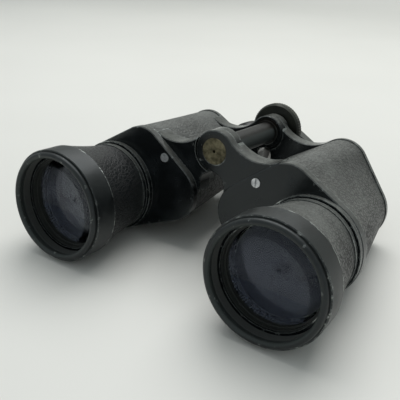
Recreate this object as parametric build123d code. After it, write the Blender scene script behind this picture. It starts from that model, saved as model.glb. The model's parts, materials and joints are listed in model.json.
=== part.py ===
from build123d import *
from math import acos, atan2, cos, degrees, hypot, pi, radians, sin, tan
import os

# Porro-prism binoculars, 50 mm aperture, centre focus, as an assembly of separate pieces.
#
# The pieces are drawn in the instrument's own frame: Y runs back along the optical axes from the
# front rims of the hoods, Z is up, X = 0 is the plane of the hinge and Z = 0 holds the objective axes.
# At the end the whole instrument is laid down the way it lies on a table, on its two hoods and the
# two heels of its rear covers, with the middle of its footprint at the origin.
# "Left" and "right" are the user's: the left barrel is the one at +X.

# ---- layout -------------------------------------------------------------------------------
half_spacing = 63.6            # hinge plane to an objective axis
hinge_rise = 34.2              # objective axes up to the hinge axis
cover_front_y = 53.5           # front face of the front covers
cover_thickness = 4.8          # behind them come the castings and the front arms
casting_length = 70.7
rear_cover_thickness = 3.0
prism_face = 22.0              # aperture of a prism, and the sideways step that it gives the beam
beam_angle = 117.2             # direction of the first step, seen from the front, in degrees

casting_front_y = cover_front_y + cover_thickness
rear_cover_y = casting_front_y + casting_length
rear_end_y = rear_cover_y + rear_cover_thickness

# ---- prism housings: each section is the hull of three rounds, one about each beam ------------
# (x, z) from the beam's axis, and how far the round reaches past half the prisms' width
top_front = (-6.64, 4.73, 4.2)
inner_front = (-8.08, -4.11, 6.8)
top_rear = (-5.34, 2.93, 4.8)
inner_rear = (-6.68, 0.99, 4.75)
outer_rear = (-3.4, -1.9, 9.15)
flange_margin = 0.3            # front cover past the objective tube's flange
leather_thickness = 0.6
cover_overhang = 0.4           # front cover past the leather
heel_overhang = 0.6            # rear cover past the leather
casting_wall = 2.0
front_wall = 2.6
cover_edge_bevel = 0.5
guide_boss_step = 1.1          # raised ring of the rear cover round the eyepiece guide
guide_boss_height = 1.0
guide_boss_bevel = 0.4

# ---- hinge arms and lugs --------------------------------------------------------------------
front_hub_radius = 11.8
rear_hub_radius = 10.3
front_arm_thickness = 11.0
rear_arm_thickness = 10.6      # at the hub
rear_web_thickness = 8.4       # from the hub out to the housing
saddle_radius = 25.2           # hollow between hub and housing on top of an arm
front_notch_radius = 7.8       # hollow below the hubs
rear_notch_radius = 4.6
notch_foot = 5.5               # straight side of a notch, below its round
front_pocket_clearance = 0.65  # around a lug, in the other barrel's arm
rear_pocket_clearance = 0.9
lug_gap = 0.1
arm_edge_bevel = 0.5

front_arm_end_y = casting_front_y + front_arm_thickness
rear_arm_y = rear_cover_y - rear_web_thickness
rear_arm_end_y = rear_arm_y + rear_arm_thickness

# ---- hinge axle, focus drive ------------------------------------------------------------------
running = 0.04                 # radial clearance of a turning or sliding fit
sliding_gap = 0.3              # between faces that pass each other
axle_head_radius = 7.45
axle_radius = 5.4
axle_head_proud = 0.3
axle_centre_hole = 0.9
axle_centre_depth = 3.0
hinge_tube_radius = 6.4
tube_collar_radius = 7.7       # at the tube's rear end
tube_collar_length = 1.2
focus_sleeve_radius = 4.3
spindle_radius = 3.1
sleeve_set_back = 4.7          # focus sleeve's front end, behind the front arm
spindle_set_back = 14.0        # spindle's front end, behind the sleeve's
wheel_set_back = 1.6           # wheel's front face, behind the rear arm
sleeve_front_y = front_arm_end_y + sleeve_set_back
spindle_front_y = sleeve_front_y + spindle_set_back
wheel_front_y = rear_arm_end_y + wheel_set_back
wheel_thickness = 4.8
wheel_face_radius = 15.1       # front face; a slope leads up from it to the knurled band
wheel_radius = 16.3
wheel_edge_bevel = 0.5
wheel_boss_radius = 8.0
wheel_boss_length = 6.6        # from the wheel's front face
groove_radius = 0.45
groove_depth = 0.3
groove_pitch = 1.7
bridge_screw_radius = 6.4
bridge_screw_head = 2.6
bridge_screw_shank = 1.8
bridge_screw_length = 9.0

# ---- objectives ---------------------------------------------------------------------------
hood_radius = 31.5
hood_wall = 2.0
hood_rear_y = 15.3
hood_edge_y = 2.4              # the full diameter starts here, behind the bead
hood_edge_chamfer = 0.35
bead_set_in = 1.2              # bead's outside, inside the band's
bead_height = 1.3
mouth_set_in = 4.5             # mouth, inside the band's outside
mouth_undercut = 1.0
mouth_lip = 0.8
tube_front_y = 9.0
taper_step = 0.1               # leather at the hood, below the band
taper_middle = (28.1, 30.0)    # radius, y of the leather's surface half-way along the taper
taper_end = (25.6, 46.6)
collar_step = 0.5              # rear collar, past the leather's end
collar_length = 2.8
neck_step = 0.4                # neck behind the collar, below the leather's end
neck_length = 1.0
flange_step = 1.5              # flange on the front cover, past the leather's end
spigot_step = 2.6              # spigot in the casting, below the leather's end
spigot_wall = 2.8
spigot_length = 3.7            # into the casting
lens_cell_wall = 3.6
ring_width = 1.2               # retaining ring, over the lens
lens_front_y = 12.2            # crown's front vertex
crown_thickness = 9.0
flint_thickness = 3.4
crown_front_curve = 125.0
cement_curve = 95.0
ring_front_y = 10.0
ring_step = 1.6

# ---- prisms and their shelf ---------------------------------------------------------------
shelf_set_back = 35.7          # shelf's front face, behind the casting's
shelf_y = casting_front_y + shelf_set_back
shelf_thickness = 3.0
light_hole_radius = 9.8
prism_end_cut = 3.0
prism_roof_cut = 1.0
strap_width = 6.0
strap_thickness = 0.8
shelf_fit = 0.1                # shelf inside the casting's wall

# ---- eyepieces ------------------------------------------------------------------------------
guide_radius = 13.5
guide_inset = 2.6              # guide's front end, inside the housing
guide_reach = 7.5              # guide's rear end, past the rear cover
guide_front_y = rear_cover_y - guide_inset
guide_end_y = rear_end_y + guide_reach
guide_flange_radius = 14.0
eyepiece_radius = 11.96
eyepiece_inset = 12.0          # sliding tube's ends, measured like the guide's
eyepiece_reach = 25.4
eyepiece_front_y = rear_cover_y - eyepiece_inset
eyepiece_end_y = rear_end_y + eyepiece_reach
cell_radius = 10.5
cell_set_back = 2.0            # cell's front end, behind the rear cover
cell_front_y = rear_end_y + cell_set_back
cell_wall = 1.2
cell_flange_radius = 13.2
cell_flange_set_back = 28.0    # cell's flange, behind the rear cover
cell_flange_length = 3.0
cell_flange_y = rear_end_y + cell_flange_set_back
cell_end_y = cell_flange_y + cell_flange_length
lens_set_back = 1.0            # lenses in from the cell's ends
eye_seat_slope = 3.0
field_stop_inset = 1.0
field_stop_y = rear_cover_y - field_stop_inset
field_stop_thickness = 1.0
field_stop_radius = 8.0
field_lens_thickness = 4.6
field_lens_curve = 24.0
eye_lens_radius = 8.4
eye_lens_thickness = 4.4
eye_lens_front_curve = 20.0
eye_lens_rear_curve = 60.0
bridge_set_back = 9.5          # bridge arms, behind the rear cover
bridge_front_y = rear_end_y + bridge_set_back
bridge_thickness = 8.0
bridge_hub_radius = 7.6
bridge_ring_radius = 15.4
bridge_waist_radii = (4.6, 8.6)   # at the spindle and at the eyepiece
bridge_edge_bevel = 0.4
bridge_pocket_clearance = 0.6
knob_radius = 16.2
knob_length = 7.2
knob_bevel = 0.4
dial_step = 0.6                # plain band in front of the knurling, below it
dial_length = 2.4
eyecup_set_back = 27.0         # eyecup's front end, behind the rear cover
eyecup_shoulder_length = 6.5   # from there to the full radius
eyecup_length = 15.0
eyecup_front_y = rear_end_y + eyecup_set_back
eyecup_front_radius = 14.8
eyecup_radius = 17.0
eyecup_shoulder_y = eyecup_front_y + eyecup_shoulder_length
eyecup_end_y = eyecup_front_y + eyecup_length
eyecup_mouth_radius = 14.6
eyecup_lip_height = 1.2
eyecup_throat_radius = 9.6
eyecup_skirt_gap = 0.3

# ---- screws ---------------------------------------------------------------------------------
screw_head_radius = 2.55
screw_head_proud = 0.36
screw_head_height = 0.9
screw_shank_radius = 1.3
screw_length = 6.0
slot_width = 0.7
slot_depth = 0.5
front_screw_offset = (-24.04, 5.33)     # from the middle beam
rear_screw_bearings = (100, 190, 320)   # on the top, inner and outer round, in degrees
screw_from_edge = 4.9
screw_boss_radius = 3.2
screw_boss_length = 14.0

# ---- places worked out from the above ---------------------------------------------------------
hinge_centre = Vector(0, 0, hinge_rise)
first_step = Vector(cos(radians(beam_angle)), 0, sin(radians(beam_angle))) * prism_face
second_step = Vector(-first_step.Z, 0, first_step.X)
objective = Vector(half_spacing, 0, 0)
half_way = objective + first_step
eyepiece = half_way + second_step

lens_radius = hood_radius - hood_wall - lens_cell_wall
clear_aperture_radius = lens_radius - ring_width
flange_radius = taper_end[0] + flange_step
spigot_radius = taper_end[0] - spigot_step
spigot_end_y = casting_front_y + spigot_length
bridge_end_y = bridge_front_y + bridge_thickness
wheel_end_y = wheel_front_y + wheel_thickness
wheel_boss_end_y = wheel_front_y + wheel_boss_length
knob_front_y = bridge_end_y + sliding_gap
knob_end_y = knob_front_y + knob_length
casting_skin = leather_thickness + cover_overhang
rear_skin = leather_thickness + heel_overhang


def round_about(beam, offset):
    """A section round (x, z, radius) from a beam's axis and its offset from it."""
    return (beam.X + offset[0], beam.Z + offset[1], prism_face / 2 + offset[2])


front_rounds = [
    round_about(half_way, top_front),
    round_about(eyepiece, inner_front),
    (objective.X, objective.Z, flange_radius + flange_margin),
]
rear_rounds = [
    round_about(half_way, top_rear),
    round_about(eyepiece, inner_rear),
    round_about(objective, outer_rear),
]
front_screw_at = (half_way.X + front_screw_offset[0], half_way.Z + front_screw_offset[1])
rear_screws_at = []
for (x, z, r), bearing in zip(rear_rounds, rear_screw_bearings):
    reach = r - screw_from_edge
    rear_screws_at.append((x + reach * cos(radians(bearing)), z + reach * sin(radians(bearing))))


# ---- drawing helpers ------------------------------------------------------------------------
def section_plane(y):
    """A plane across the instrument at y, with its own x along X and its own y along Z."""
    return Plane(origin=(0, y, 0), x_dir=(1, 0, 0), z_dir=(0, -1, 0))


def hull_section(rounds, y, inset=0.0):
    """The face that a belt round three circles would enclose, all of them smaller by inset."""
    edges = []
    normals = []
    count = len(rounds)
    for i in range(count):
        x1, z1, r1 = rounds[i]
        x2, z2, r2 = rounds[(i + 1) % count]
        heading = atan2(z2 - z1, x2 - x1)
        normals.append(heading - acos((r1 - r2) / hypot(x2 - x1, z2 - z1)))
    for i in range(count):
        x, z, r = rounds[i]
        start = normals[i - 1]
        turn = (normals[i] - start) % (2 * pi)
        places = []
        for share in (0, 0.5, 1):
            angle = start + turn * share
            places.append((x + (r - inset) * cos(angle), z + (r - inset) * sin(angle)))
        edges.append(places)
    outline = []
    for i in range(count):
        outline.append(ThreePointArc(*edges[i]))
        outline.append(Line(edges[i][2], edges[(i + 1) % count][0]))
    return section_plane(y) * make_face(outline)


def housing_form(front_inset, rear_inset, start_y=casting_front_y, end_y=rear_cover_y):
    """The housing's tapering body, or its hollow, between two sections of the same taper."""
    span = rear_cover_y - casting_front_y
    ends = []
    for y in (start_y, end_y):
        share = (y - casting_front_y) / span
        rounds = []
        for a, b in zip(front_rounds, rear_rounds):
            rounds.append(tuple(p + (q - p) * share for p, q in zip(a, b)))
        ends.append(hull_section(rounds, y, front_inset + (rear_inset - front_inset) * share))
    return loft(ends, ruled=True)


def slab(face, depth):
    """A face in a section plane, made solid towards the rear."""
    return extrude(face, amount=depth, dir=(0, 1, 0))


def disc(centre, radius, start_y, end_y):
    circle = section_plane(start_y) * Pos(centre.X, centre.Z) * Circle(radius)
    return slab(circle, end_y - start_y)


def turned(centre, profile):
    """A ring turned about a line along Y through centre, from a face drawn as (radius, y)."""
    return revolve(Pos(centre.X, 0, centre.Z) * profile, Axis(centre, (0, 1, 0)))


def polygon(*points):
    return make_face(Polyline(*points, close=True))


def ring(centre, outer, inner, start_y, end_y):
    return turned(centre, polygon((inner, start_y), (outer, start_y), (outer, end_y), (inner, end_y)))


# ---- castings and covers ---------------------------------------------------------------------
def arm_face(hub_radius, notch_radius, top_round, inner_round, y):
    """Outline of a hinge arm: hub, hollow saddle on top and notch below, out to the housing."""
    top_x, top_z, top_r = top_round
    reach = hypot(top_x, top_z - hinge_rise)
    to_hub = hub_radius + saddle_radius
    to_top = top_r + saddle_radius
    along = (to_hub ** 2 - to_top ** 2 + reach ** 2) / (2 * reach)
    across = (to_hub ** 2 - along ** 2) ** 0.5
    ux, uz = top_x / reach, (top_z - hinge_rise) / reach
    saddle = (along * ux - across * uz, hinge_rise + along * uz + across * ux)
    notch = (0, hinge_rise - hub_radius - notch_radius)
    side = (notch_radius, notch[1])
    foot = (notch_radius, notch[1] - notch_foot)
    web = polygon((0, hinge_rise), saddle, (top_x, top_z), inner_round[:2], foot, side, notch)
    web -= Pos(*saddle) * Circle(saddle_radius)
    web -= Pos(*notch) * Circle(notch_radius)
    web += Pos(0, hinge_rise) * Circle(hub_radius)
    return section_plane(y) * web


def hinge_arm(rounds, hub_radius, notch_radius, clearance, start_y, web_end_y, end_y, lug_in_front):
    """One arm, cut back at the hinge to a lug of half its thickness that laps the other barrel's."""
    arm = slab(arm_face(hub_radius, notch_radius, rounds[0], rounds[1], start_y), web_end_y - start_y)
    arm += disc(hinge_centre, hub_radius, start_y, end_y)
    rim = arm.faces().sort_by(Axis.Y)[0].outer_wire().edges()
    arm = chamfer(rim, arm_edge_bevel)
    middle = (start_y + end_y) / 2
    pocket = (middle - lug_gap / 2, end_y) if lug_in_front else (start_y, middle + lug_gap / 2)
    return arm - disc(hinge_centre, hub_radius + clearance, *pocket)


def hinge_arms(outer_lugs):
    """Both arms of one barrel; the lugs of one barrel lie outside those of the other."""
    front = hinge_arm(
        front_rounds, front_hub_radius, front_notch_radius, front_pocket_clearance,
        casting_front_y, front_arm_end_y, front_arm_end_y, outer_lugs,
    )
    rear = hinge_arm(
        rear_rounds, rear_hub_radius, rear_notch_radius, rear_pocket_clearance,
        rear_arm_y, rear_cover_y, rear_arm_end_y, not outer_lugs,
    )
    return [front, rear]


def housing(outer_lugs):
    """Casting: tapering shell with a front wall, open at the back, and its two hinge arms."""
    shell = housing_form(casting_skin, rear_skin)
    for arm in hinge_arms(outer_lugs):
        shell += arm
    inset = (casting_skin + casting_wall, rear_skin + casting_wall)
    shell -= housing_form(*inset, start_y=casting_front_y + front_wall)
    for place in rear_screws_at:
        boss_front_y = rear_cover_y - screw_boss_length
        boss = disc(Vector(place[0], 0, place[1]), screw_boss_radius, boss_front_y, rear_cover_y)
        shell += boss & housing_form(casting_skin, rear_skin)
        shell -= screw_form(place, rear_end_y, -1)
    shell -= disc(objective, spigot_radius, casting_front_y, spigot_end_y)
    shell -= disc(hinge_centre, axle_head_radius + running, casting_front_y, front_arm_end_y)
    shell -= disc(hinge_centre, axle_radius + running, rear_arm_y, rear_arm_end_y)
    shell -= screw_form(front_screw_at, cover_front_y, 1)
    return shell


def housing_leather(outer_lugs):
    """Leather cloth round the casting, cut out where the arms pass through it."""
    skin = housing_form(cover_overhang, heel_overhang)
    skin -= housing_form(casting_skin, rear_skin)
    for arm in hinge_arms(outer_lugs):
        skin -= arm
    return skin


def front_cover():
    face = hull_section(front_rounds, cover_front_y)
    cover = slab(face, cover_thickness)
    rim = cover.edges().filter_by_position(Axis.Y, cover_front_y, cover_front_y)
    cover = chamfer(rim, cover_edge_bevel)
    cover -= disc(objective, spigot_radius, cover_front_y, casting_front_y)
    return cover - screw_form(front_screw_at, cover_front_y, 1)


def rear_cover():
    boss_end_y = rear_end_y + guide_boss_height
    cover = slab(hull_section(rear_rounds, rear_cover_y), rear_cover_thickness)
    rim = cover.edges().filter_by_position(Axis.Y, rear_end_y, rear_end_y)
    cover = chamfer(rim, cover_edge_bevel)
    boss = disc(eyepiece, guide_radius + guide_boss_step, rear_end_y, boss_end_y)
    cover += chamfer(boss.edges().filter_by_position(Axis.Y, boss_end_y, boss_end_y), guide_boss_bevel)
    cover -= disc(eyepiece, guide_radius, rear_cover_y, boss_end_y)
    for place in rear_screws_at:
        cover -= screw_form(place, rear_end_y, -1)
    return cover


def screw_form(place, head_y, way):
    """Screw with its head's outer face a little proud of head_y; way is 1 for one driven rearwards."""
    centre = Vector(place[0], 0, place[1])
    top = head_y - way * screw_head_proud
    neck = top + way * screw_head_height
    tip = top + way * screw_length
    body = disc(centre, screw_head_radius, min(top, neck), max(top, neck))
    return body + disc(centre, screw_shank_radius, min(neck, tip), max(neck, tip))


def slotted_screw(place, head_y, way):
    top = head_y - way * screw_head_proud
    slot_length = 3 * screw_head_radius
    slot = Pos(place[0], top, place[1]) * Box(slot_width, 2 * slot_depth, slot_length)
    return screw_form(place, head_y, way) - slot


def cover_screws():
    """The screw of the front cover and those of the rear cover."""
    screws = [slotted_screw(front_screw_at, cover_front_y, 1)]
    for place in rear_screws_at:
        screws.append(slotted_screw(place, rear_end_y, -1))
    return screws


# ---- objectives -----------------------------------------------------------------------------
def taper(inset):
    """The waisted line of the objective tube, from under the hood to its rear collar."""
    start = (hood_radius - taper_step - inset, hood_rear_y)
    middle = (taper_middle[0] - inset, taper_middle[1])
    end = (taper_end[0] - inset, taper_end[1])
    return start, ThreePointArc(start, middle, end), end


def objective_tube():
    start, curve, end = taper(leather_thickness)
    under_hood = hood_radius - hood_wall
    collar_radius = taper_end[0] + collar_step
    collar_end = end[1] + collar_length
    neck_radius = taper_end[0] - neck_step
    neck_end = collar_end + neck_length
    spigot_bore = spigot_radius - spigot_wall
    seat_y = lens_front_y + crown_thickness + flint_thickness
    outside = Polyline(
        end,
        (collar_radius, end[1]),
        (collar_radius, collar_end),
        (neck_radius, collar_end),
        (neck_radius, neck_end),
        (flange_radius, neck_end),
        (flange_radius, cover_front_y),
        (spigot_radius, cover_front_y),
        (spigot_radius, spigot_end_y),
        (spigot_bore, spigot_end_y),
        (clear_aperture_radius - ring_step, seat_y),
        (lens_radius, seat_y),
        (lens_radius, tube_front_y),
        (under_hood, tube_front_y),
        (under_hood, hood_rear_y),
        start,
    )
    return turned(objective, make_face([curve, outside]))


def tube_leather():
    start, curve, end = taper(0)
    inner_start, inner_curve, inner_end = taper(leather_thickness)
    return turned(objective, make_face([curve, Line(end, inner_end), inner_curve, Line(inner_start, start)]))


def objective_hood():
    """Front hood: a rolled bead round the mouth, a groove, then the plain band."""
    inside = hood_radius - hood_wall
    bead_radius = hood_radius - bead_set_in
    mouth_radius = hood_radius - mouth_set_in
    undercut_radius = mouth_radius + mouth_undercut
    bead = ThreePointArc(
        (mouth_radius, bead_height),
        ((mouth_radius + bead_radius) / 2, 0),
        (bead_radius, bead_height),
    )
    rest = Polyline(
        (bead_radius, bead_height),
        (bead_radius, hood_edge_y),
        (hood_radius - hood_edge_chamfer, hood_edge_y),
        (hood_radius, hood_edge_y + hood_edge_chamfer),
        (hood_radius, hood_rear_y),
        (inside, hood_rear_y),
        (inside, tube_front_y),
        (undercut_radius, tube_front_y),
        (undercut_radius, bead_height + mouth_lip + mouth_undercut),
        (mouth_radius, bead_height + mouth_lip),
        (mouth_radius, bead_height),
    )
    return turned(objective, make_face([bead, rest]))


def sag(curve, radius):
    return curve - (curve ** 2 - radius ** 2) ** 0.5


def arc_across(radius, vertex_y, curve):
    """Half of a lens face, from the axis to radius; a positive curve bows towards the front."""
    way = 1 if curve > 0 else -1
    size = abs(curve)
    middle = (radius / 2, vertex_y + way * sag(size, radius / 2))
    edge = (radius, vertex_y + way * sag(size, radius))
    return ThreePointArc((0, vertex_y), middle, edge), edge


def lens(centre, radius, front_y, front_curve, rear_y, rear_curve):
    """A lens between two spherical faces; a curve of None is a flat face."""
    faces = []
    for y, curve in ((front_y, front_curve), (rear_y, rear_curve)):
        if curve is None:
            faces.append((Line((0, y), (radius, y)), (radius, y)))
        else:
            faces.append(arc_across(radius, y, curve))
    (front, front_edge), (rear, rear_edge) = faces
    edge = Line(front_edge, rear_edge)
    axis_line = Line((0, rear_y), (0, front_y))
    return turned(centre, make_face([front, edge, rear, axis_line]))


def crown_lens():
    cement_y = lens_front_y + crown_thickness
    return lens(objective, lens_radius, lens_front_y, crown_front_curve, cement_y, -cement_curve)


def flint_lens():
    joint = lens_front_y + crown_thickness
    return lens(objective, lens_radius, joint, -cement_curve, joint + flint_thickness, None)


def retaining_ring():
    """Threaded ring in front of the crown lens, stepped down to the clear aperture."""
    seat = lens_front_y + sag(crown_front_curve, clear_aperture_radius)
    middle = (ring_front_y + seat) / 2
    return turned(objective, polygon(
        (lens_radius, ring_front_y),
        (lens_radius, seat),
        (clear_aperture_radius, seat),
        (clear_aperture_radius, middle),
        (clear_aperture_radius + ring_step / 2, middle),
        (clear_aperture_radius + ring_step / 2, ring_front_y),
    ))


# ---- prisms -----------------------------------------------------------------------------------
def prism_plane(first, second):
    """Plane across one prism: x from one beam to the other, y to the rear, z along the roof."""
    middle = (first + second) / 2
    across = second - first
    return Plane(origin=(middle.X, 0, middle.Z), x_dir=across, z_dir=across.cross(Vector(0, 1, 0)))


def prism_outline(way, grow=0.0):
    """Right-angled section on the shelf, its sharp ends and roof ground off."""
    base = shelf_y + (shelf_thickness if way > 0 else 0)
    half = prism_face - prism_end_cut + grow
    shoulder = prism_end_cut + grow * tan(pi / 8)
    roof = prism_face - prism_roof_cut + grow
    ridge = half - (roof - shoulder)
    return polygon(
        (-half, base),
        (half, base),
        (half, base + way * shoulder),
        (ridge, base + way * roof),
        (-ridge, base + way * roof),
        (-half, base + way * shoulder),
    )


def porro_prism(first, second, way):
    plane = prism_plane(first, second)
    body = plane * extrude(prism_outline(way), amount=prism_face / 2, both=True)
    middle = (first + second) / 2
    turn = degrees(atan2(second.Z - first.Z, second.X - first.X))
    slot = SlotOverall(2 * (prism_face - prism_end_cut), prism_face)
    footprint = Pos(middle.X, middle.Z) * Rot(0, 0, turn) * slot
    blank = slab(section_plane(shelf_y - prism_face) * footprint, 2 * prism_face + shelf_thickness)
    return body & blank


def prism_strap(first, second, way):
    strip = prism_outline(way, strap_thickness) - prism_outline(way)
    return prism_plane(first, second) * extrude(strip, amount=strap_width / 2, both=True)


def prism_straps():
    return [prism_strap(objective, half_way, 1), prism_strap(half_way, eyepiece, -1)]


def prism_shelf():
    fit = casting_wall + shelf_fit
    slice_side = 4 * half_spacing
    blank = slab(section_plane(shelf_y) * Rectangle(slice_side, slice_side), shelf_thickness)
    shelf = blank & housing_form(casting_skin + fit, rear_skin + fit)
    for beam in (objective, half_way, eyepiece):
        shelf -= disc(beam, light_hole_radius, shelf_y, shelf_y + shelf_thickness)
    return shelf


# ---- eyepieces ------------------------------------------------------------------------------
def eyepiece_guide():
    """Sleeve through the rear cover, held from inside by its flange; the eyepiece slides in it."""
    bore = eyepiece_radius + running
    return turned(eyepiece, polygon(
        (bore, guide_front_y),
        (guide_flange_radius, guide_front_y),
        (guide_flange_radius, rear_cover_y),
        (guide_radius, rear_cover_y),
        (guide_radius, guide_end_y),
        (bore, guide_end_y),
    ))


def eyepiece_tube():
    bore = cell_radius + running
    return ring(eyepiece, eyepiece_radius, bore, eyepiece_front_y, eyepiece_end_y)


def field_stop():
    return ring(
        eyepiece, cell_radius + running, field_stop_radius, field_stop_y, field_stop_y + field_stop_thickness
    )


def ocular_cell():
    """Inner tube with both lenses, and a threaded flange behind for the eyecup."""
    bore = cell_radius - cell_wall
    eye_front = cell_end_y - eye_lens_thickness - lens_set_back
    return turned(eyepiece, polygon(
        (bore, cell_front_y),
        (cell_radius, cell_front_y),
        (cell_radius, cell_flange_y),
        (cell_flange_radius, cell_flange_y),
        (cell_flange_radius, cell_end_y),
        (eye_lens_radius, cell_end_y),
        (eye_lens_radius, eye_front),
        (eye_lens_radius - cell_wall / 2, eye_front),
        (bore, eye_front - eye_seat_slope),
    ))


def field_lens():
    front = cell_front_y + lens_set_back
    rear = front + field_lens_thickness
    return lens(eyepiece, cell_radius - cell_wall, front, None, rear, -field_lens_curve)


def eye_lens():
    rear = cell_end_y - lens_set_back
    front = rear - eye_lens_thickness
    return lens(eyepiece, eye_lens_radius, front, eye_lens_front_curve, rear, -eye_lens_rear_curve)


def eyecup():
    """Eyecup screwed on the cell: a trumpet flare, a plain band and a rounded rim."""
    skirt = eyepiece_radius + eyecup_skirt_gap
    lip = (eyecup_radius + eyecup_mouth_radius) / 2
    lip_y = eyecup_end_y - eyecup_lip_height
    flare_start = (eyecup_front_radius, eyecup_front_y)
    shoulder = (eyecup_radius, eyecup_shoulder_y)
    rim = ThreePointArc((eyecup_radius, lip_y), (lip, eyecup_end_y), (eyecup_mouth_radius, lip_y))
    inside = Polyline(
        (eyecup_mouth_radius, lip_y),
        (eyecup_throat_radius, cell_end_y + lens_set_back),
        (eyecup_throat_radius, cell_end_y),
        (cell_flange_radius, cell_end_y),
        (cell_flange_radius, cell_flange_y),
        (skirt, cell_flange_y),
        (skirt, eyecup_front_y),
        flare_start,
    )
    flare = TangentArc([flare_start, shoulder], tangent=(0, 1))
    return turned(eyepiece, make_face([rim, inside, flare, Line(shoulder, (eyecup_radius, lip_y))]))


def knurled(piece, centre, radius, start_y, end_y):
    """The piece with grooves along a round rim."""
    reach = radius + groove_radius - groove_depth
    count = round(2 * pi * radius / groove_pitch)
    grooves = []
    for i in range(count):
        turn = 2 * pi * i / count
        place = centre + Vector(cos(turn), 0, sin(turn)) * reach
        grooves.append(disc(place, groove_radius, start_y, end_y))
    return piece - grooves


def eyepiece_collar():
    """Collar behind the bridge, plain in front and knurled behind: on the right, the dioptre ring."""
    bore = eyepiece_radius + running
    dial_radius = knob_radius - dial_step
    dial_end = knob_front_y + dial_length
    collar = turned(eyepiece, polygon(
        (bore, knob_front_y),
        (dial_radius, knob_front_y),
        (dial_radius, dial_end),
        (knob_radius - knob_bevel, dial_end),
        (knob_radius, dial_end + knob_bevel),
        (knob_radius, knob_end_y - knob_bevel),
        (knob_radius - knob_bevel, knob_end_y),
        (bore, knob_end_y),
    ))
    return knurled(collar, eyepiece, knob_radius, dial_end, knob_end_y)


def bridge_arm(hub_in_front):
    """Arm from the spindle to one eyepiece, its hub cut back to half height to lap the other's."""
    joint_y = bridge_front_y + bridge_thickness / 2
    ends = []
    for centre, radius in zip((hinge_centre, eyepiece), bridge_waist_radii):
        ends.append((centre.X, centre.Z, radius))
    arm = slab(hull_section(ends, bridge_front_y), bridge_thickness)
    arm += disc(hinge_centre, bridge_hub_radius, bridge_front_y, bridge_end_y)
    arm += disc(eyepiece, bridge_ring_radius, bridge_front_y, bridge_end_y)
    faces = arm.faces().sort_by(Axis.Y)
    rims = faces[0].outer_wire().edges() + faces[-1].outer_wire().edges()
    arm = chamfer(rims, bridge_edge_bevel)
    pocket_behind = (joint_y - lug_gap / 2, bridge_end_y)
    pocket_in_front = (bridge_front_y, joint_y + lug_gap / 2)
    pocket_span = pocket_behind if hub_in_front else pocket_in_front
    arm -= disc(hinge_centre, bridge_hub_radius + bridge_pocket_clearance, *pocket_span)
    arm -= disc(eyepiece, eyepiece_radius, bridge_front_y, bridge_end_y)
    return arm - disc(hinge_centre, spindle_radius + running, bridge_front_y, bridge_end_y)


# ---- hinge and focus drive --------------------------------------------------------------------
def hinge_axle():
    """Brass axle through all four lugs, headed in front, bored from behind for the focus sleeve."""
    bore = focus_sleeve_radius + running
    front = casting_front_y - axle_head_proud
    axle = disc(hinge_centre, axle_head_radius, front, front_arm_end_y)
    rim = axle.edges().filter_by_position(Axis.Y, front, front)
    axle = chamfer(rim, axle_head_proud)
    axle += disc(hinge_centre, axle_radius, front_arm_end_y, rear_arm_end_y)
    axle -= disc(hinge_centre, bore, sleeve_front_y - sliding_gap, rear_arm_end_y)
    return axle - disc(hinge_centre, axle_centre_hole, front, front + axle_centre_depth)


def hinge_tube():
    """Tube round the axle between the arms, with a low collar against the rear lugs."""
    bore = axle_radius + running
    start = front_arm_end_y + lug_gap / 2
    end = rear_arm_y - lug_gap / 2
    return turned(hinge_centre, polygon(
        (bore, start),
        (hinge_tube_radius, start),
        (hinge_tube_radius, end - tube_collar_length),
        (tube_collar_radius, end - tube_collar_length),
        (tube_collar_radius, end),
        (bore, end),
    ))


def focus_sleeve():
    bore = spindle_radius + running
    return ring(hinge_centre, focus_sleeve_radius, bore, sleeve_front_y, wheel_boss_end_y)


def focus_wheel():
    """Knurled wheel behind the rear lugs, on the focus sleeve."""
    front = rear_arm_end_y + sliding_gap
    slope = wheel_radius - wheel_face_radius
    wheel = turned(hinge_centre, polygon(
        (focus_sleeve_radius, front),
        (wheel_boss_radius, front),
        (wheel_boss_radius, wheel_front_y),
        (wheel_face_radius, wheel_front_y),
        (wheel_radius, wheel_front_y + slope),
        (wheel_radius, wheel_end_y - wheel_edge_bevel),
        (wheel_radius - wheel_edge_bevel, wheel_end_y),
        (wheel_boss_radius, wheel_end_y),
        (wheel_boss_radius, wheel_boss_end_y),
        (focus_sleeve_radius, wheel_boss_end_y),
    ))
    return knurled(wheel, hinge_centre, wheel_radius, wheel_front_y, wheel_end_y)


def focus_spindle():
    spindle = disc(hinge_centre, spindle_radius, spindle_front_y, bridge_end_y)
    return spindle - disc(hinge_centre, bridge_screw_shank, bridge_end_y - bridge_screw_length, bridge_end_y)


def bridge_screw():
    """Slotted screw in the spindle's end that keeps the two bridge arms on it."""
    head_end = bridge_end_y + sliding_gap + bridge_screw_head
    screw = disc(hinge_centre, bridge_screw_radius, bridge_end_y + sliding_gap, head_end)
    screw += disc(hinge_centre, bridge_screw_shank, bridge_end_y - bridge_screw_length, head_end)
    return screw - Pos(0, head_end, hinge_rise) * Box(3 * bridge_screw_radius, 2 * slot_depth, 2 * slot_width)


# ---- laying the instrument down and writing it out ------------------------------------------------
heel_drop = rear_rounds[2][2] - rear_rounds[2][1]
rest_tilt = degrees(atan2(hood_radius - heel_drop, rear_end_y - cover_edge_bevel - hood_rear_y))
lay_down = Rot(-rest_tilt, 0, 0)


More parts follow.
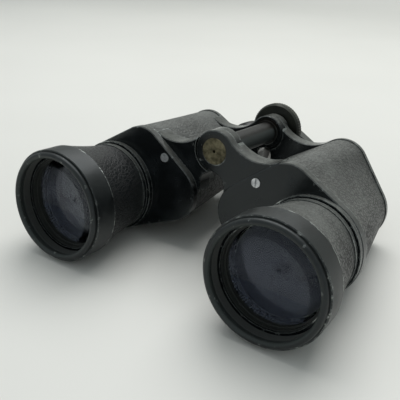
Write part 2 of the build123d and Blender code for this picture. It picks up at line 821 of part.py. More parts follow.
def one_barrel(side):
    """Every piece of one barrel as name: shape, drawn at +X and mirrored for the right barrel."""
    outer_lugs = side == "left"
    pieces = {
        "housing": housing(outer_lugs),
        "housing_leather": housing_leather(outer_lugs),
        "front_cover": front_cover(),
        "rear_cover": rear_cover(),
        "cover_screws": cover_screws(),
        "objective_tube": objective_tube(),
        "tube_leather": tube_leather(),
        "objective_hood": objective_hood(),
        "crown_lens": crown_lens(),
        "flint_lens": flint_lens(),
        "retaining_ring": retaining_ring(),
        "prism_shelf": prism_shelf(),
        "rear_prism": porro_prism(objective, half_way, 1),
        "front_prism": porro_prism(half_way, eyepiece, -1),
        "prism_straps": prism_straps(),
        "eyepiece_guide": eyepiece_guide(),
        "eyepiece_tube": eyepiece_tube(),
        "field_stop": field_stop(),
        "ocular_cell": ocular_cell(),
        "field_lens": field_lens(),
        "eye_lens": eye_lens(),
        "eyecup": eyecup(),
        "bridge_arm": bridge_arm(outer_lugs),
        "eyepiece_collar" if side == "left" else "dioptre_ring": eyepiece_collar(),
    }
    named = {}
    for name, shape in pieces.items():
        solids = shape if isinstance(shape, list) else [shape]
        if side == "right":
            solids = [mirror(solid, about=Plane.YZ) for solid in solids]
        named[f"{side}_{name}"] = solids
    return named


pieces = {**one_barrel("left"), **one_barrel("right")}
for maker in (hinge_axle, hinge_tube, focus_sleeve, focus_wheel, focus_spindle, bridge_screw):
    pieces[maker.__name__] = [maker()]

laid = {name: [lay_down * solid for solid in solids] for name, solids in pieces.items()}
bounds = Compound(children=[solid.solid() for solids in laid.values() for solid in solids]).bounding_box()
centre = Pos(-bounds.center().X, -bounds.center().Y, -bounds.min.Z)

os.makedirs("parts", exist_ok=True)
for name, solids in laid.items():
    placed = [centre * solid for solid in solids]
    shape = placed[0] if len(placed) == 1 else Compound(children=[solid.solid() for solid in placed])
    export_step(shape, f"parts/{name}.step")
print(f"{len(laid)} nodes, rest tilt {rest_tilt:.6f} degrees, size {bounds.size}")
print(f"shift {centre.position}")
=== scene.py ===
import bpy
import bmesh
import json
import math
from mathutils import Matrix, Vector


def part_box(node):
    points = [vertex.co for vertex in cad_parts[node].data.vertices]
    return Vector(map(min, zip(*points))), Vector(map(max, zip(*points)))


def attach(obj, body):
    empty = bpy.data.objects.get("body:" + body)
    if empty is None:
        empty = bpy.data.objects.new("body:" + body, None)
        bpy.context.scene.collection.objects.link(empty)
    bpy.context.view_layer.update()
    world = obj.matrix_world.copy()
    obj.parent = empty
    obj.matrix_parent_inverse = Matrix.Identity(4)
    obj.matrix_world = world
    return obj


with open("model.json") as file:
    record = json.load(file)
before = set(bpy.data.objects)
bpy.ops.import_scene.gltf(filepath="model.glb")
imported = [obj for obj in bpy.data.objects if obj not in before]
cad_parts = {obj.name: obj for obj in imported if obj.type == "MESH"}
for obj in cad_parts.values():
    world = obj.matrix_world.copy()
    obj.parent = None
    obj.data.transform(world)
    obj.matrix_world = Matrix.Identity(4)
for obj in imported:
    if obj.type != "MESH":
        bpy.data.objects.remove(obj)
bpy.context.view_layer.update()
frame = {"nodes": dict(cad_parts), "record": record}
scene = bpy.context.scene
mounts = {mount["name"]: mount for mount in frame["record"]["mounts"]}
print("frame loaded:", len(frame["nodes"]), "pieces")

# Lengths are in metres, as in the frame, except those named Mm, which are in millimetres.


def linearColour(hexCode):
    channels = [int(hexCode[i:i + 2], 16) / 255 for i in (1, 3, 5)]
    linear = [c / 12.92 if c <= 0.04045 else ((c + 0.055) / 1.055) ** 2.4 for c in channels]
    return (*linear, 1.0)


def addNode(tree, kind, settings=None, links=None):
    # A setting is a socket's value or the node's own property, and a hex string is a colour.
    # A Mix node's sockets go by number: 0 is the factor, 2 and 3 its values, 6 and 7 its colours.
    node = tree.nodes.new("ShaderNode" + kind)
    for key, value in (settings or {}).items():
        if isinstance(value, str) and value.startswith("#"):
            value = linearColour(value)
        if isinstance(key, int) or key in node.inputs:
            node.inputs[key].default_value = value
        else:
            setattr(node, key, value)
    for key, source in (links or {}).items():
        tree.links.new(source, node.inputs[key])
    return node


def startMaterial(name):
    material = bpy.data.materials.new(name)
    material.use_nodes = True
    tree = material.node_tree
    place = addNode(tree, "TexCoord").outputs["Object"]
    return material, tree, tree.nodes["Principled BSDF"], place


def paint(material, *nodeNames):
    for nodeName in nodeNames:
        mesh = frame["nodes"][nodeName].data
        mesh.materials.clear()
        mesh.materials.append(material)


def bothSides(*names):
    return [side + "_" + name for name in names for side in ("left", "right")]


def patches(tree, place, sizeMm, spread, detail=5):
    # soft-edged islands about sizeMm across: 0 where the noise is below the spread, 1 above it
    settings = {"Scale": 1000 / sizeMm, "Detail": detail, "Roughness": 0.6}
    noise = addNode(tree, "TexNoise", settings, {"Vector": place}).outputs[0]
    low, high = spread
    return addNode(tree, "MapRange", {"From Min": low, "From Max": high}, {"Value": noise}).outputs[0]


# How open it is just below the surface, 1 under a flat face and less under an outside edge: where that
# is barely an edge, and where it is fully one.
edgeFinder = {"samples": 8, "barely": 0.93, "fully": 0.6}


def outsideEdges(tree, reachMm):
    # 1 on an outside edge, falling to 0 at about reachMm from it; 0 in corners
    settings = {"samples": edgeFinder["samples"], "inside": True, "only_local": True}
    depth = addNode(tree, "AmbientOcclusion", {**settings, "Distance": reachMm / 1000}).outputs["AO"]
    limits = {"From Min": edgeFinder["barely"], "From Max": edgeFinder["fully"]}
    return addNode(tree, "MapRange", limits, {"Value": depth}).outputs[0]


# Dust, with a painted sheen of the light from above, lies on slopes up to about 70 degrees, thicker in motes.
dustAndSheenFall = {"steepest": 0.35, "motesMm": 4, "motesSpread": (0.35, 0.7), "betweenMotes": 0.55}


def settledDustAndSheen(tree, place, amount):
    # dust, and a painted sheen of the light from above, on what faces up, in uneven motes
    facing = addNode(tree, "SeparateXYZ", None, {0: addNode(tree, "TexCoord").outputs["Normal"]})
    rise = {"From Min": dustAndSheenFall["steepest"], "From Max": 1.0, "To Max": amount}
    upward = addNode(tree, "MapRange", rise, {"Value": facing.outputs["Z"]}).outputs[0]
    islands = patches(tree, place, dustAndSheenFall["motesMm"], dustAndSheenFall["motesSpread"])
    motes = addNode(tree, "MapRange", {"To Min": dustAndSheenFall["betweenMotes"]}, {"Value": islands}).outputs[0]
    return addNode(tree, "Math", {"operation": "MULTIPLY"}, {0: upward, 1: motes}).outputs[0]


def outFromAxis(tree, place, centre, axis):
    # the way out to a point from a line through centre
    away = addNode(tree, "VectorMath", {"operation": "SUBTRACT", 1: centre}, {0: place}).outputs[0]
    along = addNode(tree, "VectorMath", {"operation": "PROJECT", 1: axis}, {0: away}).outputs[0]
    return addNode(tree, "VectorMath", {"operation": "SUBTRACT"}, {0: away, 1: along}).outputs[0]


# How far a face turns in towards a barrel's axis to count as its lining: from barely to fully.
liningFinder = {"barely": -0.2, "fully": -0.4}


def facingAxis(tree, place, mount):
    # 1 on the faces that look in at a barrel's axis, on either side of the instrument
    point = addNode(tree, "SeparateXYZ", None, {0: place})
    folded = addNode(tree, "Math", {"operation": "ABSOLUTE"}, {0: point.outputs["X"]})
    side = addNode(tree, "Math", {"operation": "SIGN"}, {0: point.outputs["X"]})
    here = {"X": folded.outputs[0], "Y": point.outputs["Y"], "Z": point.outputs["Z"]}
    onLeft = addNode(tree, "CombineXYZ", None, here).outputs[0]
    out = outFromAxis(tree, onLeft, mount["pos_m"], mount["axis"])
    unit = addNode(tree, "VectorMath", {"operation": "NORMALIZE"}, {0: out})
    face = addNode(tree, "SeparateXYZ", None, {0: addNode(tree, "TexCoord").outputs["Normal"]})
    turned = addNode(tree, "Math", {"operation": "MULTIPLY"}, {0: face.outputs["X"], 1: side.outputs[0]})
    looks = {"X": turned.outputs[0], "Y": face.outputs["Y"], "Z": face.outputs["Z"]}
    normal = addNode(tree, "CombineXYZ", None, looks).outputs[0]
    lean = addNode(tree, "VectorMath", {"operation": "DOT_PRODUCT"}, {0: unit.outputs[0], 1: normal})
    limits = {"From Min": liningFinder["barely"], "From Max": liningFinder["fully"]}
    return addNode(tree, "MapRange", limits, {"Value": lean.outputs["Value"]}).outputs[0]


# Stoved black enamel on cast aluminium: deep gloss with a slight orange peel, hairline scratches,
# bare metal where hands and tables have rubbed the edges through, and dust on what faces up, lightened
# further as a painted sheen of the light from above.
stovedEnamel = {
    "colour": "#0a0d0e", "rubbed": "#16191b", "metal": "#a9aeab", "inside": "#0a0a0a",
    "dustAndSheen": "#8b8c86", "grime": "#14100b", "scratch": "#4a4d4c", "gloss": "#e8eff1",
    "roughness": 0.17, "rubbedRoughness": 0.3, "insideRoughness": 0.6,
    "rubbedMm": 14, "rubbedSpread": (0.42, 0.68), "dustAndSheenAmount": 0.45, "grimeMm": 8.6,
    "edgeMm": 1.0, "leastWear": 0.4, "wearStart": 0.33, "wearFull": 0.95, "wornInside": 0.0,
    "chipMm": 2.6, "chipReachMm": 2.4, "unevenSpread": (0.38, 0.62), "chipSpread": (0.63, 0.67),
    "scratchMm": 0.35, "scratchSpread": (0.66, 0.74), "scratchAmount": 0.2,
    "scratchTurn": (0.4, 0.2, 0.9), "scratchStretch": (1, 0.06, 1),
    "peelMm": 1.1, "peelDepthMm": 0.01, "wornStep": -2,
}

# The same enamel on the left front cover, whose edge beside the hinge arm is sheltered from wear.
shelteredEnamel = {**stovedEnamel, "grime": "#0d1011", "grimeMm": 41.5}

# The same enamel on the hoods and the hinge tube, where caps and fingers have rubbed it satin.
hoodEnamel = {
    **stovedEnamel,
    "colour": "#0e1011", "rubbed": "#202323", "metal": "#b4b8b4", "inside": "#2b2f2d",
    "dustAndSheen": "#77786f", "roughness": 0.36, "rubbedRoughness": 0.5, "dustAndSheenAmount": 0.05,
    "edgeMm": 0.9, "leastWear": 0.16, "wearStart": 0.38, "wearFull": 0.76, "wornInside": 0.9,
    "chipMm": 3.4, "chipReachMm": 2.0, "peelMm": 0.8, "peelDepthMm": 0.012, "scratchMm": 0.5,
}

# Black lacquer on turned brass: the olive of the brass shows through where it is thin.
lacqueredBrass = {
    **stovedEnamel,
    "colour": "#121310", "rubbed": "#24251e", "metal": "#a5a18c", "inside": "#121310",
    "dustAndSheen": "#77786f", "gloss": "#f1f3ea", "roughness": 0.28, "rubbedRoughness": 0.4,
    "dustAndSheenAmount": 0.3, "edgeMm": 0.6, "leastWear": 0.45, "wearStart": 0.4, "wearFull": 0.8,
    "chipMm": 1.8, "chipReachMm": 1.0, "peelMm": 0.9, "peelDepthMm": 0.01, "scratchMm": 0.4,
}

plugSoftMm = 0.8  # over which the grime round the hinge axle thins out


def roundPlug(tree, place, reachMm):
    # 1 within reachMm of the hinge axle's own line, where grime keeps the enamel dark
    low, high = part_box("hinge_axle")
    centre = tuple((a + b) / 2 for a, b in zip(low, high))
    out = outFromAxis(tree, place, centre, mounts["left_hood_rim"]["axis"])
    distance = addNode(tree, "VectorMath", {"operation": "LENGTH"}, {0: out}).outputs["Value"]
    limits = {"From Min": reachMm / 1000, "From Max": (reachMm - plugSoftMm) / 1000}
    return addNode(tree, "MapRange", limits, {"Value": distance}).outputs[0]


def bareMetal(tree, place, look, grimy, lining):
    # 1 where the enamel is through to the metal: along edges, and in chips near them
    islands = patches(tree, place, look["chipMm"], look["unevenSpread"])
    uneven = addNode(tree, "MapRange", {"To Min": look["leastWear"]}, {"Value": islands}).outputs[0]
    edges = outsideEdges(tree, look["edgeMm"])
    wear = addNode(tree, "Math", {"operation": "MULTIPLY"}, {0: edges, 1: uneven}).outputs[0]
    limits = {"From Min": look["wearStart"], "From Max": look["wearFull"]}
    worn = addNode(tree, "MapRange", limits, {"Value": wear}).outputs[0]
    spots = patches(tree, place, look["chipMm"], look["chipSpread"])
    nearEdges = outsideEdges(tree, look["chipReachMm"])
    chips = addNode(tree, "Math", {"operation": "MULTIPLY"}, {0: nearEdges, 1: spots}).outputs[0]
    bare = addNode(tree, "Math", {"operation": "MAXIMUM"}, {0: worn, 1: chips}).outputs[0]
    bare = addNode(tree, "Mix", {"data_type": "FLOAT", 3: 0.0}, {0: grimy, 2: bare}).outputs[0]
    inside = {"To Min": 1.0, "To Max": look["wornInside"]}
    kept = addNode(tree, "MapRange", inside, {"Value": lining}).outputs[0]
    return addNode(tree, "Math", {"operation": "MULTIPLY"}, {0: bare, 1: kept}).outputs[0]


def enamelMaterial(name, look):
    material, tree, shader, place = startMaterial(name)
    grimy = roundPlug(tree, place, look["grimeMm"])
    lining = facingAxis(tree, place, mounts["left_hood_rim"])
    bare = bareMetal(tree, place, look, grimy, lining)
    rubbed = patches(tree, place, look["rubbedMm"], look["rubbedSpread"])
    stretch = {"Rotation": look["scratchTurn"], "Scale": look["scratchStretch"]}
    drawn = addNode(tree, "Mapping", stretch, {"Vector": place}).outputs[0]
    hairlines = patches(tree, drawn, look["scratchMm"], look["scratchSpread"], 2)
    scratches = addNode(tree, "MapRange", {"To Max": look["scratchAmount"]}, {"Value": hairlines}).outputs[0]
    # dust on what faces up, with a painted sheen of the light from above
    dustAndSheen = settledDustAndSheen(tree, place, look["dustAndSheenAmount"])
    tones = {"data_type": "RGBA", 6: look["colour"], 7: look["rubbed"]}
    film = addNode(tree, "Mix", tones, {0: rubbed}).outputs[2]
    layers = {"scratch": scratches, "dustAndSheen": dustAndSheen, "grime": grimy, "inside": lining, "metal": bare}
    for layer, mask in layers.items():  # each over the last
        film = addNode(tree, "Mix", {"data_type": "RGBA", 7: look[layer]}, {0: mask, 6: film}).outputs[2]
    tree.links.new(film, shader.inputs["Base Color"])
    tree.links.new(bare, shader.inputs["Metallic"])
    shader.inputs["Specular Tint"].default_value = linearColour(look["gloss"])
    polish = {"To Min": look["roughness"], "To Max": look["rubbedRoughness"]}
    gloss = addNode(tree, "MapRange", polish, {"Value": rubbed}).outputs[0]
    matt = {"data_type": "FLOAT", 3: look["insideRoughness"]}
    dull = addNode(tree, "Mix", matt, {0: lining, 2: gloss}).outputs[0]
    tree.links.new(dull, shader.inputs["Roughness"])
    peel = addNode(tree, "TexNoise", {"Scale": 1000 / look["peelMm"], "Detail": 2}, {"Vector": place})
    step = {"operation": "MULTIPLY_ADD", 1: look["wornStep"]}  # bare metal lies below the enamel
    height = addNode(tree, "Math", step, {0: bare, 2: peel.outputs[0]}).outputs[0]
    bump = addNode(tree, "Bump", {"Distance": look["peelDepthMm"] / 1000}, {"Height": height})
    tree.links.new(bump.outputs[0], shader.inputs["Normal"])
    return material


# Grained leather cloth, rolled with a seal grain and glued on: creases painted dark as shade between small
# pebbles whose tops are rubbed a little paler, and dust on what faces up, with a painted sheen of the light
# from above.
# The grain is drawn coarser than the real 1 mm, which wouldn't show.
leatherCloth = {
    "creaseShade": "#0a0b0b", "pebble": "#1f2221", "rubbed": "#353937", "dustAndSheen": "#83857f",
    "dustAndSheenAmount": 0.47, "rubbedMm": 22, "rubbedSpread": (0.46, 0.66), "polish": 0.55,
    "pebbleMm": 1.8, "stretch": (1.0, 0.55, 1.0), "creaseWidth": 0.2, "depthMm": 0.26,
    "swayMm": 1.8, "swayLengthMm": 2.5, "roughness": 0.42, "creaseRoughness": 0.7,
}

# The same cloth on the right barrel's tube: darker all over as painted shade, glossier, shallower in grain,
# no dust or sheen.
shadedCloth = {
    **leatherCloth,
    "creaseShade": "#0b0d0d", "pebble": "#121516", "rubbed": "#1b1f1f",
    "dustAndSheenAmount": 0.02, "depthMm": 0.1, "roughness": 0.36,
}


def leatherMaterial(name, look):
    material, tree, shader, place = startMaterial(name)
    sway = addNode(tree, "TexNoise", {"Scale": 1000 / look["swayLengthMm"], "Detail": 2}, {"Vector": place})
    shift = {"operation": "MULTIPLY_ADD", 1: (look["swayMm"] / 1000,) * 3}
    swayed = addNode(tree, "VectorMath", shift, {0: sway.outputs["Color"], 2: place}).outputs[0]
    drawn = addNode(tree, "Mapping", {"Scale": look["stretch"]}, {"Vector": swayed}).outputs[0]
    cells = {"feature": "DISTANCE_TO_EDGE", "Scale": 1000 / look["pebbleMm"]}
    pebbles = addNode(tree, "TexVoronoi", cells, {"Vector": drawn}).outputs["Distance"]
    rubbed = patches(tree, place, look["rubbedMm"], look["rubbedSpread"])
    flattened = addNode(tree, "Math", {"operation": "MULTIPLY", 1: look["polish"]}, {0: rubbed}).outputs[0]
    smooth = {"interpolation_type": "SMOOTHSTEP", "From Max": look["creaseWidth"]}
    height = addNode(tree, "MapRange", smooth, {"Value": pebbles, "To Min": flattened}).outputs[0]
    tops = addNode(tree, "Mix", {"data_type": "RGBA", 6: look["pebble"], 7: look["rubbed"]}, {0: rubbed})
    # the creases are painted darker than the pebble tops, as shade in the grain
    grain = addNode(tree, "Mix", {"data_type": "RGBA", 6: look["creaseShade"]}, {0: height, 7: tops.outputs[2]})
    # dust on what faces up, with a painted sheen of the light from above
    dustAndSheen = settledDustAndSheen(tree, place, look["dustAndSheenAmount"])
    dustedAndSheened = addNode(tree, "Mix", {"data_type": "RGBA", 7: look["dustAndSheen"]}, {0: dustAndSheen, 6: grain.outputs[2]})
    tree.links.new(dustedAndSheened.outputs[2], shader.inputs["Base Color"])
    shine = {"To Min": look["creaseRoughness"], "To Max": look["roughness"]}
    tree.links.new(addNode(tree, "MapRange", shine, {"Value": height}).outputs[0], shader.inputs["Roughness"])
    bump = addNode(tree, "Bump", {"Distance": look["depthMm"] / 1000}, {"Height": height})
    tree.links.new(bump.outputs[0], shader.inputs["Normal"])
    return material


# Blackened inside surfaces: matt paint over turned metal, so only faint turning lines catch light.
blackenedMetal = {
    "colour": "#1d201f", "line": "#30322f", "lineMm": 0.5, "stretch": (0.1, 1, 0.1),
    "depthMm": 0.02, "roughness": 0.62,
}


def blackenedMaterial(name, look):
    material, tree, shader, place = startMaterial(name)
    drawn = addNode(tree, "Mapping", {"Scale": look["stretch"]}, {"Vector": place}).outputs[0]
    lines = addNode(tree, "TexNoise", {"Scale": 1000 / look["lineMm"], "Detail": 1}, {"Vector": drawn})
    tones = {"data_type": "RGBA", 6: look["colour"], 7: look["line"]}
    colour = addNode(tree, "Mix", tones, {0: lines.outputs[0]}).outputs[2]
    tree.links.new(colour, shader.inputs["Base Color"])
    shader.inputs["Roughness"].default_value = look["roughness"]
    bump = addNode(tree, "Bump", {"Distance": look["depthMm"] / 1000}, {"Height": lines.outputs[0]})
    tree.links.new(bump.outputs[0], shader.inputs["Normal"])
    return material


# Aged brass, faced on a lathe: brown patina over dull yellow metal.
agedBrass = {
    "metal": "#857e66", "patina": "#4a4637", "patinaMm": 3.0, "patinaSpread": (0.36, 0.66),
    "lineMm": 0.4, "stretch": (1, 1, 0.12), "depthMm": 0.02, "roughness": 0.5, "patinaRoughness": 0.7,
}

# Nickel-plated steel, polished: pale grey with fine brush lines.
nickelledSteel = {
    **agedBrass,
    "metal": "#e4e5e6", "patina": "#b2b4b6", "patinaMm": 2.0,
    "lineMm": 0.3, "depthMm": 0.015, "roughness": 0.38, "patinaRoughness": 0.58,
}


def bareMetalMaterial(name, look):
    material, tree, shader, place = startMaterial(name)
    patina = patches(tree, place, look["patinaMm"], look["patinaSpread"], 6)
    tones = {"data_type": "RGBA", 6: look["metal"], 7: look["patina"]}
    tree.links.new(addNode(tree, "Mix", tones, {0: patina}).outputs[2], shader.inputs["Base Color"])
    shader.inputs["Metallic"].default_value = 1.0
    polish = {"To Min": look["roughness"], "To Max": look["patinaRoughness"]}
    dull = addNode(tree, "MapRange", polish, {"Value": patina}).outputs[0]
    tree.links.new(dull, shader.inputs["Roughness"])
    drawn = addNode(tree, "Mapping", {"Scale": look["stretch"]}, {"Vector": place}).outputs[0]
    lines = addNode(tree, "TexNoise", {"Scale": 1000 / look["lineMm"], "Detail": 1}, {"Vector": drawn})
    bump = addNode(tree, "Bump", {"Distance": look["depthMm"] / 1000}, {"Height": lines.outputs[0]})
    tree.links.new(bump.outputs[0], shader.inputs["Normal"])
    return material


# Prisms and field lenses: plain polished glass, with faint smears.
plainGlass = {
    "colour": "#f4f6f5", "reflection": "#ffffff", "ior": 1.52, "smearMm": 12, "smearSpread": (0.35, 0.7),
    "roughness": 0.0, "smearRoughness": 0.012,
}

# Crown glass, polished and bloomed with fluoride: it sends back a little deep blue and no more.
bloomedCrown = {**plainGlass, "reflection": "#454d6a", "smearMm": 18}

# Flint glass behind it, not bloomed: the grey-blue disc deep in the objective is its reflection.
polishedFlint = {**plainGlass, "reflection": "#d0d6ee", "smearMm": 18}


def glassMaterial(name, look):
    material, tree, shader, place = startMaterial(name)
    shader.inputs["Base Color"].default_value = linearColour(look["colour"])
    shader.inputs["Transmission Weight"].default_value = 1.0
    shader.inputs["IOR"].default_value = look["ior"]
    shader.inputs["Specular Tint"].default_value = linearColour(look["reflection"])
    smears = patches(tree, place, look["smearMm"], look["smearSpread"])
    polish = {"To Min": look["roughness"], "To Max": look["smearRoughness"]}
    dull = addNode(tree, "MapRange", polish, {"Value": smears}).outputs[0]
    tree.links.new(dull, shader.inputs["Roughness"])
    return material


# Bakelite, compression moulded and polished: brown-black with a faint swirl and rubbed rim.
mouldedBakelite = {
    "colour": "#0f0d0c", "swirl": "#211b16", "rim": "#544d43", "swirlMm": 9, "swirlSpread": (0.4, 0.7),
    "edgeMm": 1.0, "wornMm": 2.5, "wornSpread": (0.35, 0.65), "grainMm": 0.8, "depthMm": 0.01,
    "roughness": 0.28, "swirlRoughness": 0.43,
}


def bakeliteMaterial(name, look):
    material, tree, shader, place = startMaterial(name)
    swirl = patches(tree, place, look["swirlMm"], look["swirlSpread"])
    body = addNode(tree, "Mix", {"data_type": "RGBA", 6: look["colour"], 7: look["swirl"]}, {0: swirl})
    islands = patches(tree, place, look["wornMm"], look["wornSpread"])
    edges = outsideEdges(tree, look["edgeMm"])
    worn = addNode(tree, "Math", {"operation": "MULTIPLY"}, {0: edges, 1: islands}).outputs[0]
    colour = addNode(tree, "Mix", {"data_type": "RGBA", 7: look["rim"]}, {0: worn, 6: body.outputs[2]})
    tree.links.new(colour.outputs[2], shader.inputs["Base Color"])
    polish = {"To Min": look["roughness"], "To Max": look["swirlRoughness"]}
    dull = addNode(tree, "MapRange", polish, {"Value": swirl}).outputs[0]
    tree.links.new(dull, shader.inputs["Roughness"])
    grain = addNode(tree, "TexNoise", {"Scale": 1000 / look["grainMm"], "Detail": 2}, {"Vector": place})
    bump = addNode(tree, "Bump", {"Distance": look["depthMm"] / 1000}, {"Height": grain.outputs[0]})
    tree.links.new(bump.outputs[0], shader.inputs["Normal"])
    return material


enamel = enamelMaterial("stovedBlackEnamel", stovedEnamel)
paint(enamel, *bothSides("housing", "rear_cover", "objective_tube", "eyepiece_guide", "eyepiece_tube"))
paint(enamel, *bothSides("bridge_arm"), "right_front_cover", "left_eyepiece_collar", "right_dioptre_ring")
paint(enamelMaterial("shelteredBlackEnamel", shelteredEnamel), "left_front_cover")
paint(enamelMaterial("rubbedSatinEnamel", hoodEnamel), *bothSides("objective_hood"), "hinge_tube")
paint(enamelMaterial("lacqueredBrass", lacqueredBrass), "focus_wheel")
leather = leatherMaterial("sealGrainLeatherCloth", leatherCloth)
paint(leather, *bothSides("housing_leather"), "left_tube_leather")
# the right barrel's tube gets the darker copy of the cloth, as painted shade
paint(leatherMaterial("shadedLeatherCloth", shadedCloth), "right_tube_leather")
blackened = blackenedMaterial("blackenedMetal", blackenedMetal)
paint(blackened, *bothSides("retaining_ring", "prism_shelf", "field_stop", "ocular_cell"))
paint(bareMetalMaterial("agedBrass", agedBrass), "hinge_axle", "focus_sleeve")
nickelled = bareMetalMaterial("nickelledSteel", nickelledSteel)
paint(nickelled, *bothSides("cover_screws", "prism_straps"), "focus_spindle", "bridge_screw")
paint(glassMaterial("bloomedCrownGlass", bloomedCrown), *bothSides("crown_lens", "eye_lens"))
paint(glassMaterial("polishedFlintGlass", polishedFlint), *bothSides("flint_lens"))
glass = glassMaterial("polishedGlass", plainGlass)
paint(glass, *bothSides("rear_prism", "front_prism", "field_lens"))
paint(bakeliteMaterial("mouldedBakelite", mouldedBakelite), *bothSides("eyecup"))
print("materials:", len(bpy.data.materials))


def addPiece(name, bm):
    mesh = bpy.data.meshes.new(name)
    bm.to_mesh(mesh)
    bm.free()
    piece = bpy.data.objects.new(name, mesh)
    scene.collection.objects.link(piece)
    return piece


def turnedRing(name, mount, profile, segments):
    # a closed (radius, distance along the mount's axis) profile in millimetres, turned about that axis
    centre, axis = Vector(mount["pos_m"]), Vector(mount["axis"]).normalized()
    across = axis.cross(Vector((0, 0, 1))).normalized()
    bm = bmesh.new()
    rings = []
    for i in range(segments):
        out = Matrix.Rotation(math.tau * i / segments, 3, axis) @ across
        rings.append([bm.verts.new(centre + out * (r / 1000) + axis * (t / 1000)) for r, t in profile])
    for i in range(segments):
        here, there = rings[i], rings[(i + 1) % segments]
        for j in range(len(profile)):
            k = (j + 1) % len(profile)
            bm.faces.new((here[j], there[j], there[k], here[k]))
    bmesh.ops.recalc_face_normals(bm, faces=bm.faces)
    return addPiece(name, bm)


# Cap thread cut inside each hood, behind its bead: fine ridges that catch a line of light each.
# The real pitch is 0.75 mm; 1.0 mm is as fine as shows.
capThread = {
    "outsideMm": 28.1, "rootMm": 28.0, "crestMm": 27.35, "pitchMm": 1.0, "turns": 5, "frontMm": 4.4,
    "segments": 120,
}


def threadProfile(look):
    points = [(look["outsideMm"], look["frontMm"])]
    for i in range(look["turns"]):
        start = look["frontMm"] - look["pitchMm"] * i
        points.append((look["rootMm"], start))
        points.append((look["crestMm"], start - look["pitchMm"] / 2))
    last = look["frontMm"] - look["pitchMm"] * look["turns"]
    return points + [(look["rootMm"], last), (look["outsideMm"], last)]


for side in ("left", "right"):
    hoodRim = mounts[side + "_hood_rim"]
    thread = turnedRing(side + "CapThread", hoodRim, threadProfile(capThread), capThread["segments"])
    thread.data.materials.append(blackened)
    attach(thread, side + "_barrel")
print("cap threads cut")

# Dioptre scale: filled lines on the plain band of the ring, a long one at zero, a plus and a minus at
# its ends, and an index on the bridge. Back is measured from the eyecup's rim.
dioptreScale = {
    "bandMm": 15.6, "backMm": 17.2, "lineMm": 1.4, "zeroMm": 2.1, "widthMm": 0.35, "signMm": 1.1,
    "stepDegrees": 12, "linesEachSide": 4, "zeroDegrees": -12, "proudMm": 0.06, "bevelMm": 0.03,
}
dioptreIndex = {**dioptreScale, "bandMm": 15.4, "backMm": 20.2, "lineMm": 2.6}

# White filling in the scale's lines: brushed-in enamel, yellowed and uneven.
fillingEnamel = {
    "colour": "#c9c5b4", "grime": "#8d8876", "patchMm": 0.8, "patchSpread": (0.4, 0.7),
    "depthMm": 0.02, "roughness": 0.5,
}


def fillingMaterial(name, look):
    material, tree, shader, place = startMaterial(name)
    grime = patches(tree, place, look["patchMm"], look["patchSpread"])
    tones = {"data_type": "RGBA", 6: look["colour"], 7: look["grime"]}
    tree.links.new(addNode(tree, "Mix", tones, {0: grime}).outputs[2], shader.inputs["Base Color"])
    shader.inputs["Roughness"].default_value = look["roughness"]
    grain = addNode(tree, "TexNoise", {"Scale": 1000 / look["patchMm"]}, {"Vector": place})
    bump = addNode(tree, "Bump", {"Distance": look["depthMm"] / 1000}, {"Height": grain.outputs[0]})
    tree.links.new(bump.outputs[0], shader.inputs["Normal"])
    return material


def scaleLines(name, mount, lines, look):
    # each line: degrees round the axis, then distance in front of the mount, length and width in mm
    centre, axis = Vector(mount["pos_m"]), Vector(mount["axis"]).normalized()
    upward = Vector((0, 0, 1)) - axis * axis.z
    bm = bmesh.new()
    for degrees, front, length, width in lines:
        out = Matrix.Rotation(math.radians(degrees), 3, axis) @ upward.normalized()
        across = axis.cross(out)
        middle = centre - axis * ((front + length / 2) / 1000) + out * (look["bandMm"] / 1000)
        turn = Matrix((across, axis, out)).transposed().to_4x4()
        size = Matrix.Diagonal((width / 1000, length / 1000, 2 * look["proudMm"] / 1000, 1))
        bmesh.ops.create_cube(bm, size=1, matrix=Matrix.Translation(middle) @ turn @ size)
    bmesh.ops.bevel(bm, geom=bm.edges[:], offset=look["bevelMm"] / 1000, segments=1, affect="EDGES")
    return addPiece(name, bm)


def dioptreLines(look):
    ticks = []
    for i in range(-look["linesEachSide"], look["linesEachSide"] + 1):
        length = look["lineMm"] if i else look["zeroMm"]
        at = look["zeroDegrees"] + i * look["stepDegrees"]
        ticks.append((at, look["backMm"], length, look["widthMm"]))
    for side in (-1, 1):
        at = look["zeroDegrees"] + side * (look["linesEachSide"] + 1) * look["stepDegrees"]
        middle = look["backMm"] + (look["signMm"] - look["widthMm"]) / 2
        ticks.append((at, middle, look["widthMm"], look["signMm"]))  # the minus, and the plus's bar
        if side == 1:
            ticks.append((at, look["backMm"], look["signMm"], look["widthMm"]))
    return ticks


def indexLine(look):
    return [(look["zeroDegrees"], look["backMm"], look["lineMm"], look["widthMm"])]


eyecupRim = mounts["right_eyecup_rim"]
scaleRing = scaleLines("dioptreScale", eyecupRim, dioptreLines(dioptreScale), dioptreScale)
index = scaleLines("dioptreIndex", eyecupRim, indexLine(dioptreIndex), dioptreIndex)
filling = fillingMaterial("yellowedFillingEnamel", fillingEnamel)
for piece, body in ((scaleRing, "dioptre_ring"), (index, "right_bridge")):
    piece.data.materials.append(filling)
    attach(piece, body)
print("dioptre scale filled")

# Table and backdrop in one pale sweep of paper, with no line between them: matt, hardly uneven.
sweep = {
    "colour": "#d6d5cf", "tone": "#dbdad4", "toneMm": 400, "toneSpread": (0.3, 0.7), "roughness": 0.55,
    "front": -3.5, "back": 1.1, "bend": 0.6, "height": 1.6, "halfWidth": 3.5, "steps": 12,
}


def paperMaterial(name, look):
    material, tree, shader, place = startMaterial(name)
    clouds = patches(tree, place, look["toneMm"], look["toneSpread"], 2)
    tones = {"data_type": "RGBA", 6: look["colour"], 7: look["tone"]}
    tree.links.new(addNode(tree, "Mix", tones, {0: clouds}).outputs[2], shader.inputs["Base Color"])
    shader.inputs["Roughness"].default_value = look["roughness"]
    return material


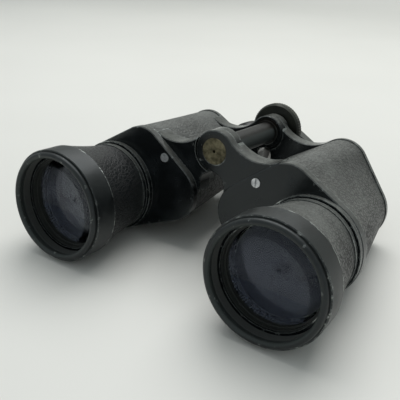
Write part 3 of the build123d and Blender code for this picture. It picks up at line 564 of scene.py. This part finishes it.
def pageSweep(look):
    outline = [(look["front"], 0.0), (look["back"], 0.0)]
    for i in range(1, look["steps"] + 1):
        angle = math.pi / 2 * i / look["steps"]
        rise = look["bend"] * (1 - math.cos(angle))
        outline.append((look["back"] + look["bend"] * math.sin(angle), rise))
    outline.append((look["back"] + look["bend"], look["height"]))
    points = [(x, y, z) for y, z in outline for x in (-look["halfWidth"], look["halfWidth"])]
    faces = [(i, i + 1, i + 3, i + 2) for i in range(0, len(points) - 2, 2)]
    mesh = bpy.data.meshes.new("sweep")
    mesh.from_pydata(points, [], faces)
    for polygon in mesh.polygons:
        polygon.use_smooth = True
    mesh.materials.append(paperMaterial("paperSweep", look))
    page = bpy.data.objects.new("sweep", mesh)
    scene.collection.objects.link(page)


pageSweep(sweep)

# One broad lamp overhead and behind, and the room's own light.
overheadLamp = {"place": (-0.19, 0.5, 1.25), "aim": (0, 0, 0), "size": 1.3, "power": 17.4}
roomLight = {"colour": "#dfe8eb", "strength": 0.58}


def hangLamp(name, look):
    light = bpy.data.lights.new(name, "AREA")
    light.shape = "SQUARE"
    light.size = look["size"]
    light.energy = look["power"]
    lamp = bpy.data.objects.new(name, light)
    lamp.location = look["place"]
    lamp.rotation_euler = (Vector(look["aim"]) - Vector(look["place"])).to_track_quat("-Z", "Y").to_euler()
    scene.collection.objects.link(lamp)


def lightRoom(name, look):
    room = bpy.data.worlds.new(name)
    room.use_nodes = True
    background = room.node_tree.nodes["Background"]
    background.inputs["Color"].default_value = linearColour(look["colour"])
    background.inputs["Strength"].default_value = look["strength"]
    scene.world = room


hangLamp("overhead", overheadLamp)
lightRoom("room", roomLight)

viewpoint = {
    "place": (0.15312, -0.27610, 0.16999), "turnDegrees": (64.899, -1.802, 33.617),
    "lensMm": 51.53, "sensorMm": 36, "nearest": 0.01,
}
cameraData = bpy.data.cameras.new("viewpoint")
cameraData.lens = viewpoint["lensMm"]
cameraData.sensor_width = viewpoint["sensorMm"]
cameraData.clip_start = viewpoint["nearest"]
camera = bpy.data.objects.new("viewpoint", cameraData)
camera.location = viewpoint["place"]
camera.rotation_euler = [math.radians(a) for a in viewpoint["turnDegrees"]]
scene.collection.objects.link(camera)
scene.camera = camera
scene.view_settings.view_transform = "Standard"
print("stage, lamps and camera set")
